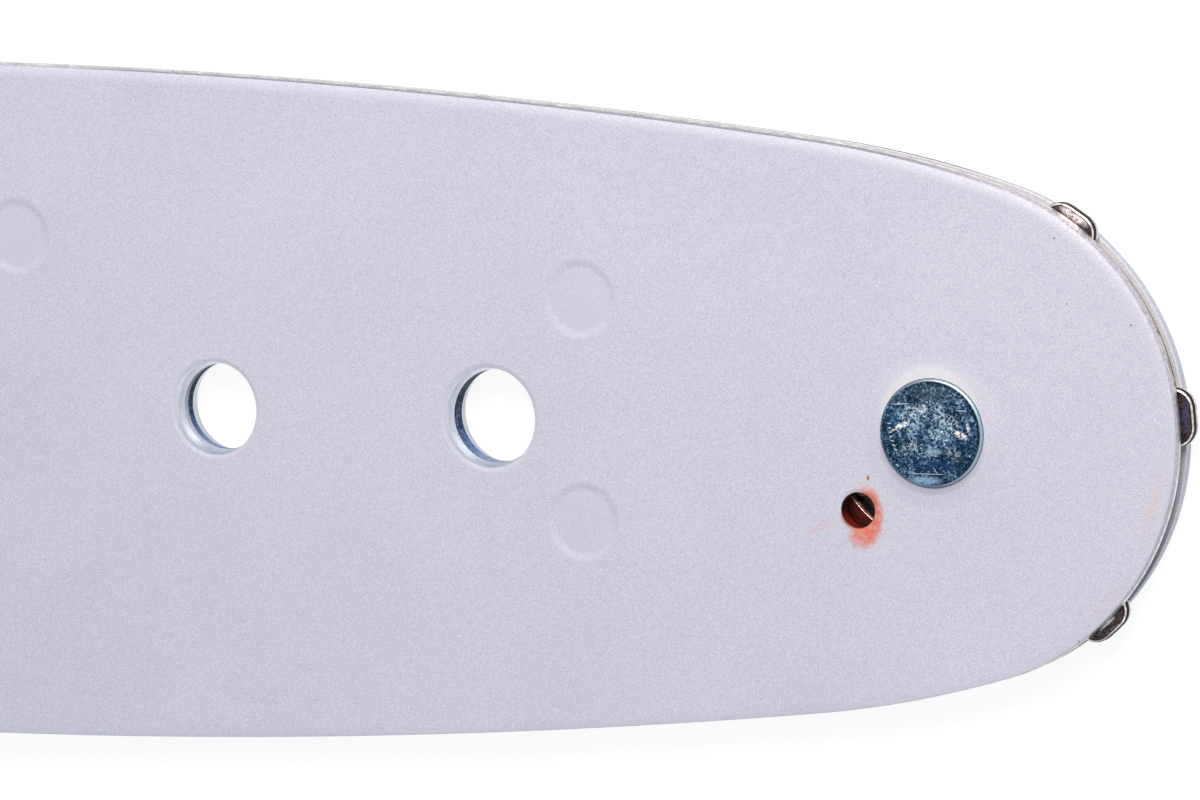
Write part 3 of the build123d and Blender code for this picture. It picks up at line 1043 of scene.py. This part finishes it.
def zinc_plating(name):
    """Blue zinc on a peened head: navy and silver grains, rubbed paler in the middle, painted highlight on
    the rim.
    """
    material, tree, shader, place = new_material(name, {"Metallic": 1.0, "Roughness": 0.36})
    fine = add_node(
        tree, "ShaderNodeTexNoise",
        {"Scale": pattern_scale(0.16), "Detail": 4.0, "Roughness": 0.75, "Distortion": 0.5},
        {"Vector": place},
    ).outputs["Fac"]
    broad = add_node(
        tree, "ShaderNodeTexNoise", {"Scale": pattern_scale(0.9), "Detail": 3.0, "Roughness": 0.6},
        {"Vector": place},
    ).outputs["Fac"]
    broken = add_node(
        tree, "ShaderNodeMapRange", {"From Min": 0.3, "From Max": 0.52, "To Min": 0.3}, {"Value": fine}
    ).outputs["Result"]
    middle = add_node(
        tree, "ShaderNodeMapping", {"Location": (nose_x * MM, 0.5 * MM, 0), "Scale": (3.4 * MM, 2.7 * MM, 1)},
        {"Vector": place}, vector_type="TEXTURE",
    ).outputs[0]
    reach = add_node(tree, "ShaderNodeVectorMath", {}, {0: middle}, operation="LENGTH").outputs["Value"]
    rubbed = add_node(
        tree, "ShaderNodeMapRange", {"From Min": 1.0, "From Max": 0.2, "To Min": -0.17, "To Max": -0.1},
        {"Value": reach},
    ).outputs["Result"]
    patchy = add_node(
        tree, "ShaderNodeMath", {1: 0.3}, {0: broad, 2: rubbed}, operation="MULTIPLY_ADD"
    ).outputs["Value"]
    total = add_node(tree, "ShaderNodeMath", {}, {0: fine, 1: patchy}, operation="ADD").outputs["Value"]
    grains = add_node(tree, "ShaderNodeValToRGB", {}, {"Fac": total})
    ramp = grains.color_ramp
    ramp.elements[0].position = 0.36
    ramp.elements[0].color = linear("#08121C")
    ramp.elements[1].position = 0.74
    ramp.elements[1].color = linear("#E2EAF0")
    for stop, shade in ((0.48, "#1F3850"), (0.56, "#466786"), (0.65, "#A9BFD0")):
        ramp.elements.new(stop).color = linear(shade)
    glint = add_node(
        tree, "ShaderNodeMapRange", {"From Min": 0.46, "From Max": 0.56}, {"Value": fine}
    ).outputs["Result"]
    colour = lay_marks(tree, grains.outputs["Color"], place, rivet_patches, broken)
    colour = lay_marks(tree, colour, place, rivet_glints, glint)
    colour = lay_marks(tree, colour, place, rivet_scratches)
    centre = add_node(
        tree, "ShaderNodeMapping",
        {"Location": (nose_x * MM, 0, 0), "Scale": (rivet_head_r * MM, rivet_head_r * MM, 1)},
        {"Vector": place}, vector_type="TEXTURE",
    ).outputs[0]
    out = add_node(tree, "ShaderNodeVectorMath", {}, {0: centre}, operation="LENGTH").outputs["Value"]
    # A painted highlight and a painted dark reflection round the rim, strongest towards the upper right
    side = add_node(
        tree, "ShaderNodeVectorMath", {1: (0.92, 0.38, 0)}, {0: centre}, operation="DOT_PRODUCT"
    ).outputs["Value"]
    bright = add_node(
        tree, "ShaderNodeMapRange", {"From Min": -0.6, "From Max": 0.5, "To Min": 0.25, "To Max": 1.0},
        {"Value": side},
    ).outputs["Result"]
    for near, far, shade, strength in ((0.89, 0.92, "#101A26", 0.65), (0.945, 0.965, "#A2B6C4", 0.85)):
        ring = add_node(
            tree, "ShaderNodeMapRange", {"From Min": near, "From Max": far, "To Max": strength},
            {"Value": out},
        ).outputs["Result"]
        cover = add_node(
            tree, "ShaderNodeMath", {}, {0: ring, 1: bright}, operation="MULTIPLY"
        ).outputs["Value"]
        colour = add_node(
            tree, "ShaderNodeMix", {"B": linear(shade)}, {"Factor": cover, "A": colour}, data_type="RGBA"
        ).outputs[2]
    tree.links.new(colour, shader.inputs["Base Color"])
    bump = add_node(tree, "ShaderNodeBump", {"Strength": 0.5, "Distance": 0.04 * MM}, {"Height": fine})
    tree.links.new(bump.outputs["Normal"], shader.inputs["Normal"])
    return material


upper_coat = powder_coat("pale powder coat, greased", True)
lower_coat = powder_coat("pale powder coat", False)
hole_steel = punched_steel("punched steel")
rail_steel = oily_steel("ground rail steel", "#9A9AAA", "#E4E2EC", 0.5, 0.36, 0.2, edge_painted_shade, coat_marks)
lower_rail = oily_steel("pale rail steel", "#A4AAC0", "#F0F4FF", 0.3, 0.36, 0.12, rail_painted_shade, corner_painted_shade)
upper_edge = oily_steel("bright rubbed edge", "#C6C2C6", "#FFFFFF", 0.9, 0.25, 0.6, lip_painted_shade)
lower_edge = oily_steel("pale rubbed edge", "#BEC4DA", "#FFFFFF", 0.3, 0.35, 0.15)
# The groove's bare oily steel is dark enough to paint the shade under the upper plate's edge
groove_oil_and_shade = oily_steel("oily groove steel, painted shade", "#463C40", "#827880", 0.5, 0.45, 0.3)
strip_steel = oily_steel("chain-rubbed steel", "#BEC0D2", "#FFFFFF", 0.1, 0.4, 0.1)
core_steel = blued_strip("blued cold-rolled strip")
sprocket_steel = hardened_steel("hardened sprocket steel")
polished_edge_highlight = oily_steel("polished steel edge, painted highlight", "#8E8480", "#FFFCFA", 1.0, 0.16, 0.3, bevel_painted_shade)
dark_reflection_steel = oily_steel("steel in painted dark reflection", "#120E10", "#2A2224", 1.0, 0.4, 0.4)
flank_steel = oily_steel("brown oily steel", "#080404", "#241A18", 0.0, 0.5, 0.4)
bore_steel = oily_steel("greasy bright steel", "#6A3E36", "#EACBC2", 1.0, 0.22, 0.3, bore_marks)
bearing_steel = oily_steel("greasy ground steel", "#3F2A24", "#7A5A50", 1.0, 0.32, 0.4)
rivet_zinc = zinc_plating("blue zinc plating")

# After the sprocket's face: bevel, a painted highlight; dark lines beside it, painted reflection; bore rim;
# flanks
tooth_steels = (polished_edge_highlight, dark_reflection_steel, bore_steel, flank_steel)

# After a side plate's coat: hole walls, rail walls, rubbed edge, groove (also painted shade), rubbed strip
upper_steels = (hole_steel, rail_steel, upper_edge, groove_oil_and_shade, strip_steel)
lower_steels = (hole_steel, lower_rail, lower_edge, groove_oil_and_shade, strip_steel)
grease_hole = (*from_nose(grease_from_rivet, grease_turn), grease_hole_d)
outer_plate = build_side_plate("outer_side_plate_pressed", [grease_hole], weld_pair + weld_row, False)
finish_piece(outer_plate, "bar", "outer_side_plate", "painted_plate", upper_coat, *upper_steels)
inner_plate = build_side_plate("inner_side_plate_pressed", [], [], True)
finish_piece(inner_plate, "bar", "inner_side_plate", "painted_plate", lower_coat, *lower_steels)
core = build_core()
finish_piece(core, "bar", "core_plate", "core_steel", core_steel)
sprocket = build_sprocket()
finish_piece(sprocket, "sprocket", "nose_sprocket", "sprocket_steel", sprocket_steel, *tooth_steels)
rivet = build_rivet()
finish_piece(rivet, "bar", "nose_rivet", "rivet_steel", rivet_zinc)
for number, roller in enumerate(build_rollers(), 1):
    finish_piece(roller, "roller_ring", f"bearing_roller_{number:02d}", "bearing_steel", bearing_steel)
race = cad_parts["bearing_inner_race"]
race.data.materials.clear()
race.data.materials.append(bearing_steel)

# Floor: white to the eye and to reflections, with the shadow left on it
bpy.ops.object.select_all(action="DESELECT")
bpy.ops.mesh.primitive_plane_add(size=6.0, location=(0, 0, 0))
floor = bpy.context.object
floor.name = "floor"
floor_paper = bpy.data.materials.new("white paper")
floor_paper.use_nodes = True
tree = floor_paper.node_tree
tree.nodes.remove(tree.nodes["Principled BSDF"])
paper = add_node(tree, "ShaderNodeBsdfDiffuse", {"Color": linear("#E6E6E6")})
shade = add_node(tree, "ShaderNodeBsdfDiffuse", {"Color": linear("#7C7C7C")})
glow = add_node(tree, "ShaderNodeEmission", {"Color": linear("#FFFFFF"), "Strength": 0.9})
white = add_node(tree, "ShaderNodeAddShader", {}, {0: shade.outputs[0], 1: glow.outputs[0]})
show_white(tree, paper, white, "Material Output")
floor.data.materials.append(floor_paper)

# Studio: an even sky, a little bluer than the lamps, and white where it is seen
world = bpy.data.worlds.new("studio")
bpy.context.scene.world = world
world.use_nodes = True
tree = world.node_tree
sky = tree.nodes["Background"]
sky.inputs["Color"].default_value = linear("#DDEEFF")
sky.inputs["Strength"].default_value = 0.3
backdrop = add_node(tree, "ShaderNodeBackground", {"Color": linear("#FFFFFF"), "Strength": 1.0})
show_white(tree, sky, backdrop, "World Output")

# Lamps: place, what they face, power, size in metres, spread and colour. The second lights the tail.
for name, place, facing, power, size, spread, colour in (
    ("softbox over the nose", (nose_x + 65, 240, 288), (nose_x + 25, -5, face_z), 0.71, 0.22, 125, "#FFF3E8"),
    ("softbox over the tail", (tail_x + 20, 200, 280), (tail_x + 80, 0, face_z), 0.12, 0.3, 65, "#CFE0FF"),
):
    lamp_data = bpy.data.lights.new(name, "AREA")
    lamp_data.energy = power
    lamp_data.size = size
    lamp_data.spread = radians(spread)
    lamp_data.color = linear(colour)[:3]
    lamp = bpy.data.objects.new(name, lamp_data)
    lamp.location = Vector(place) * MM
    lamp.rotation_euler = (Vector(facing) * MM - lamp.location).to_track_quat("-Z", "Y").to_euler()
    bpy.context.scene.collection.objects.link(lamp)

# Camera: the photograph's place and angle, found from the rivet, the holes, the outline and the teeth
camera_lens = 147.14
camera_place = (292.289, 35.219, 284.844)
camera_turns = (-6.221, 24.999, -1.050)
camera_data = bpy.data.cameras.new("camera")
camera_data.sensor_width = 36.0
camera_data.lens = camera_lens
camera_data.clip_start = 0.01
camera_data.clip_end = 50.0
camera = bpy.data.objects.new("camera", camera_data)
camera.location = Vector(camera_place) * MM
camera.rotation_mode = "ZXY"
camera.rotation_euler = [radians(turn) for turn in camera_turns]
bpy.context.scene.collection.objects.link(camera)
bpy.context.scene.camera = camera
bpy.context.scene.view_settings.view_transform = "Standard"
